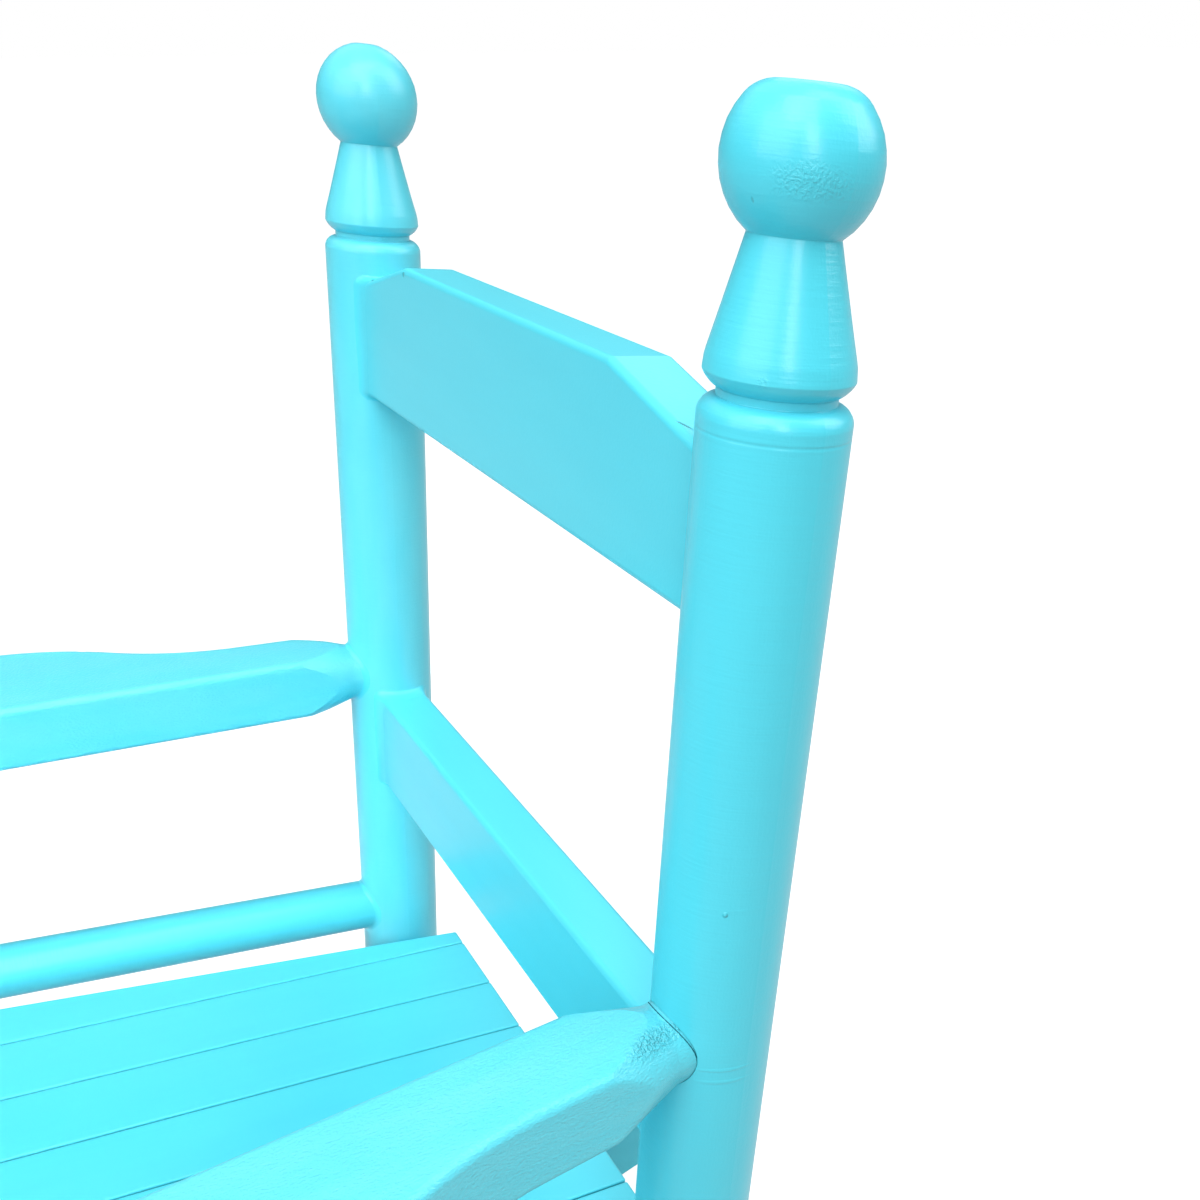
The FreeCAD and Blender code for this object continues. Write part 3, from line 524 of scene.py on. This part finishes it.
def paint_ring(shape, outline, place, reach, rise=0.0, stretch=1.0, fall=0.0):
    """Add a fillet to a shape; place has X out of the post, Y across it and Z along it.

    The rise is the slope of a board's top, stretch says how many times further the paint runs along the piece
    than along the post, and fall is the angle at which the piece slopes down from the post.
    """
    sections = fillet_sections(outline, reach, rise, stretch, fall)
    rings = [bmesh.ops.create_circle(shape, segments=len(outline), radius=1.0)["verts"]]
    for _ in sections[1:]:
        rings.append(grown_ring(shape, rings[-1]))
    for ring, section in zip(rings, sections):
        for point, spot in zip(ring, section):
            point.co = place @ spot
    bmesh.ops.bridge_loops(shape, edges=ring_edges(shape, rings[0]) + ring_edges(shape, rings[-1]))
    for edge in ring_edges(shape, rings[1]) + ring_edges(shape, rings[-1]) + ring_edges(shape, rings[0]):
        edge.smooth = False


def add_piece(name, shape, material):
    """Tip a finished shape over with the chair and make it part of the chair."""
    bmesh.ops.transform(shape, matrix=TO_FLOOR, verts=shape.verts)
    bmesh.ops.recalc_face_normals(shape, faces=shape.faces)
    mesh = bpy.data.meshes.new(name)
    shape.to_mesh(mesh)
    shape.free()
    for face in mesh.polygons:
        face.use_smooth = True
    mesh.materials.append(material)
    piece = bpy.data.objects.new(name, mesh)
    bpy.context.scene.collection.objects.link(piece)
    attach(piece, "root")
    return piece


print("fillet tools ready")

# %% Places where pieces meet the posts
# each arm's height at its back post, and its fall towards the front
ARM_LINES = {"left": (334.9, math.radians(6.5)), "right": (330.6, math.radians(3.0))}


def framed(base, out):
    """Return the matrix at a point whose X is the given direction and whose Z stays as upright as it can."""
    across = Vector((0, 0, 1)).cross(out).normalized()
    upright = out.cross(across)
    return Matrix.Translation(base) @ Matrix((out, across, upright)).transposed().to_4x4()


def side_place(side, along, height, way, fall=0.0):
    """Return the place on a post's axis whose X runs forward (way 1) or back (way -1) along that side."""
    ahead = Vector((math.sin(SPLAY) * side, -math.cos(SPLAY), 0)) * way
    base = Vector((BACK_SPACING / 2 * side, 0, height)) + ahead * way * along
    out = (ahead - Vector((0, 0, math.tan(fall)))).normalized()
    return framed(base, out)


def inward_place(side, spacing, along, height):
    """Return the place on a post's axis whose X runs inwards, across the chair."""
    return framed(Vector((spacing / 2 * side, -along, height)), Vector((-side, 0, 0)))


print("places ready")

# %% Fill the joints
DOWEL_RADIUS = 10.7
STRETCHER_RADIUS = 9.0
ARM_TENON_RADIUS = 10.8
RAIL_THICKNESS = 18.0
RAIL_CORNER = 2.0
CREST_ENDS = (441.4, 479.2)
CREST_SLOPE = 10 / 41
LOWER_RAIL_ENDS = (285.0, 324.0)
SIDE_RAIL_HEIGHT = 216.6
SIDE_STRETCHER_HEIGHT = 80.0
REAR_STRETCHER_HEIGHT = 112.0
FRONT_STRETCHER_HEIGHT = 122.0
DOWEL_FILLET = 2.0
BOARD_FILLET = 2.5
BOARD_STRETCH = 3.0

joints = bmesh.new()
for hand, side in SIDES.items():
    crest_end = board_outline(RAIL_THICKNESS, *CREST_ENDS, RAIL_CORNER)
    lower_end = board_outline(RAIL_THICKNESS, *LOWER_RAIL_ENDS, RAIL_CORNER)
    inward = inward_place(side, BACK_SPACING, 0, 0)
    if side < 0:
        paint_ring(joints, crest_end, inward, BOARD_FILLET, rise=CREST_SLOPE, stretch=BOARD_STRETCH)
    paint_ring(joints, lower_end, inward, BOARD_FILLET, stretch=BOARD_STRETCH)
    dowel = round_outline(DOWEL_RADIUS)
    stretcher = round_outline(STRETCHER_RADIUS)
    for along, way in ((0, 1), (SIDE_LENGTH, -1)):
        paint_ring(joints, dowel, side_place(side, along, SIDE_RAIL_HEIGHT, way), DOWEL_FILLET)
        paint_ring(joints, stretcher, side_place(side, along, SIDE_STRETCHER_HEIGHT, way), DOWEL_FILLET)
    behind = inward_place(side, BACK_SPACING, 0, REAR_STRETCHER_HEIGHT)
    paint_ring(joints, stretcher, behind, DOWEL_FILLET)
    ahead = inward_place(side, FRONT_SPACING, POST_PITCH, FRONT_STRETCHER_HEIGHT)
    paint_ring(joints, stretcher, ahead, DOWEL_FILLET)
far_height, far_fall = ARM_LINES["right"]
far_arm = side_place(-1, 0, far_height, 1, far_fall)
paint_ring(joints, round_outline(ARM_TENON_RADIUS), far_arm, DOWEL_FILLET, fall=far_fall)
add_piece("paint_in_joints", joints, paint("paint_in_joints", UP, number=40, flow=0.0))
print("filled joints")

# %% [markdown]
# ## Two open joints
#
# The near arm and the crest's near end are exceptions: the paint is open along the joint, and the gap shows
# as a thin dark line of shade. It is made as a hair-thin ring of the same kind, a dark sheet of painted shadow.

# %% Draw the lines of painted shadow
LINE_REACH = 0.17
DEEP_SHADOW = (0.003, 0.08, 0.11, 1)
PALE_SHADOW = (0.008, 0.16, 0.21, 1)
SHADOW_SIZE = (2.0, 2.0)

# painted shadow: a dark, matt turquoise for the rings that stand in for the shade in the open joints
line_material, tree, output = new_material("joint_shadow")
painted_shade_mix = stretched_noise(tree, joiner_coordinates(tree), *SHADOW_SIZE)
shadow = mixed(tree, painted_shade_mix, DEEP_SHADOW, PALE_SHADOW)
matt = add_node(tree, "BsdfPrincipled", Base_Color=shadow, Roughness=0.9, Specular_IOR_Level=0.1)
tree.links.new(matt.outputs[0], output.inputs["Surface"])

near_height, near_fall = ARM_LINES["left"]
line = bmesh.new()
near_arm = side_place(1, 0, near_height, 1, near_fall)
paint_ring(line, round_outline(ARM_TENON_RADIUS, count=64), near_arm, LINE_REACH)
near_crest = board_outline(RAIL_THICKNESS, *CREST_ENDS, RAIL_CORNER)
paint_ring(line, near_crest, inward_place(1, BACK_SPACING, 0, 0), LINE_REACH, rise=CREST_SLOPE)
add_piece("painted_shadow_lines", line, line_material)
print("dark lines drawn")

# %% [markdown]
# ## Screws and brads
#
# The screws are ordinary steel ones with a crossed slot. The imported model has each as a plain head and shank,
# so the places are read from it: every loose island of points is one screw, its long direction is the screw's
# axis, and the wider end is its head. A new screw is then made once and set in each place.

# %% Find each screw
def loose_islands(node):
    """Return the points of each separate solid in a CAD node, as arrays in metres."""
    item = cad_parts[node]
    shape = bmesh.new()
    shape.from_mesh(item.data)
    bmesh.ops.transform(shape, matrix=item.matrix_world, verts=shape.verts)
    bmesh.ops.remove_doubles(shape, verts=shape.verts, dist=1e-6)
    waiting = set(shape.verts)
    islands = []
    while waiting:
        front = [waiting.pop()]
        island = []
        while front:
            point = front.pop()
            island.append(point.co[:])
            joined = {e.other_vert(point) for e in point.link_edges} & waiting
            waiting -= joined
            front += joined
        islands.append(np.array(island))
    shape.free()
    return islands


def screw_place(points):
    """Return a screw's place, head first and Z into the wood, its head's radius and its length."""
    middle = points.mean(axis=0)
    axis = np.linalg.svd(points - middle)[2][0]
    far = (points - middle) @ axis
    wide = np.linalg.norm(points - middle - np.outer(far, axis), axis=1)
    head_first = wide[far < far.min() + 1e-4].max() > wide[far > far.max() - 1e-4].max()
    start, way = (far.min(), axis) if head_first else (far.max(), -axis)
    turn = Vector(way).to_track_quat("Z", "Y").to_matrix().to_4x4()
    return Matrix.Translation(Vector(middle + axis * start)) @ turn, wide.max(), far.max() - far.min()


screw_spots = {node: [screw_place(points) for points in loose_islands(node)] for node in STEEL_NODES}
print("screws found:", {node: len(spots) for node, spots in screw_spots.items()})

# %% Turn one screw, with its crossed slot
HEAD_DEPTH = 3.0 * MM
SLOT_DEPTH = 1.4 * MM
SLOT_HALF = 0.6 * MM
# shares of the head's radius
SLOT_SHARE = 0.55
SHANK_SHARE = 0.5
HEAD_SEGMENTS = 32


def pushed(shape, faces, depth):
    """Extrude faces along Z and leave none behind."""
    made = bmesh.ops.extrude_face_region(shape, geom=faces)["geom"]
    moved = [v for v in made if isinstance(v, bmesh.types.BMVert)]
    bmesh.ops.translate(shape, vec=(0, 0, depth), verts=moved)
    bmesh.ops.delete(shape, geom=[f for f in faces if f.is_valid], context="FACES_ONLY")


def cut_slot(shape, reach):
    """Sink a cross into the faces that lie in the plane Z = 0."""
    for line in (-reach, -SLOT_HALF, SLOT_HALF, reach):
        for across in ((1, 0, 0), (0, 1, 0)):
            everything = shape.verts[:] + shape.edges[:] + shape.faces[:]
            bmesh.ops.bisect_plane(shape, geom=everything, dist=1e-7, plane_co=Vector(across) * line,
                                   plane_no=across)
    cross = []
    for face in shape.faces:
        middle = face.calc_center_median()
        narrow, wide = sorted((abs(middle.x), abs(middle.y)))
        if abs(middle.z) < 1e-6 and narrow < SLOT_HALF and wide < reach:
            cross.append(face)
    pushed(shape, cross, SLOT_DEPTH)


def new_screw(head, length):
    """Return a screw whose slotted head lies at the origin and whose shank runs along Z."""
    shape = bmesh.new()
    bmesh.ops.create_cone(shape, cap_ends=True, segments=HEAD_SEGMENTS, radius1=head, radius2=head,
                          depth=HEAD_DEPTH, matrix=Matrix.Translation((0, 0, HEAD_DEPTH / 2)))
    under = [f for f in shape.faces if f.calc_center_median().z > HEAD_DEPTH * 0.9]
    bmesh.ops.inset_region(shape, faces=under, thickness=head * (1 - SHANK_SHARE))
    pushed(shape, under, length - HEAD_DEPTH)
    cut_slot(shape, head * SLOT_SHARE)
    return shape


print("screw tools ready")

# %% Put a screw in every place
STAINED_ZINC = (0.50, 0.50, 0.47, 1)
BRIGHT_ZINC = (0.68, 0.68, 0.66, 1)
# sizes across and along in millimetres, and detail
SCRATCH_SIZE = (0.15, 2.5, 3.0)
STAIN_SIZE = (1.5, 1.5, 3.0)
SCRATCH_STEP = (0.3, 0.7)
SCRATCH_DEPTH = 0.01 * MM
ZINC_GLOSS = (0.28, 0.42)

steel, tree, output = new_material("screw_steel")
point = joiner_coordinates(tree)
brushed = stretched_noise(tree, point, *SCRATCH_SIZE)
stain = stretched_noise(tree, point, *STAIN_SIZE)
zinc = mixed(tree, stain, STAINED_ZINC, BRIGHT_ZINC)
dull = ramp(tree, brushed, *SCRATCH_STEP, *ZINC_GLOSS)
scored = add_node(tree, "Bump", Height=brushed, Distance=SCRATCH_DEPTH, Strength=1.0)
metal = add_node(tree, "BsdfPrincipled", Base_Color=zinc, Roughness=dull, Metallic=1.0,
                 Normal=scored.outputs[0])
tree.links.new(metal.outputs[0], output.inputs["Surface"])

for node in ("slat_screws", "rocker_screws", "arm_screws"):
    whole = bmesh.new()
    for place, head, length in screw_spots[node]:
        one = new_screw(head, length)
        bmesh.ops.transform(one, matrix=TO_FLOOR.inverted() @ place, verts=one.verts)
        spare = bpy.data.meshes.new("spare")
        one.to_mesh(spare)
        one.free()
        whole.from_mesh(spare)
        bpy.data.meshes.remove(spare)
    piece = add_piece("slotted_" + node, whole, steel)
    piece.data.shade_flat()
    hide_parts(node)
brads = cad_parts["rail_brads"].data
brads.materials.clear()
brads.materials.append(steel)
print("screws set")
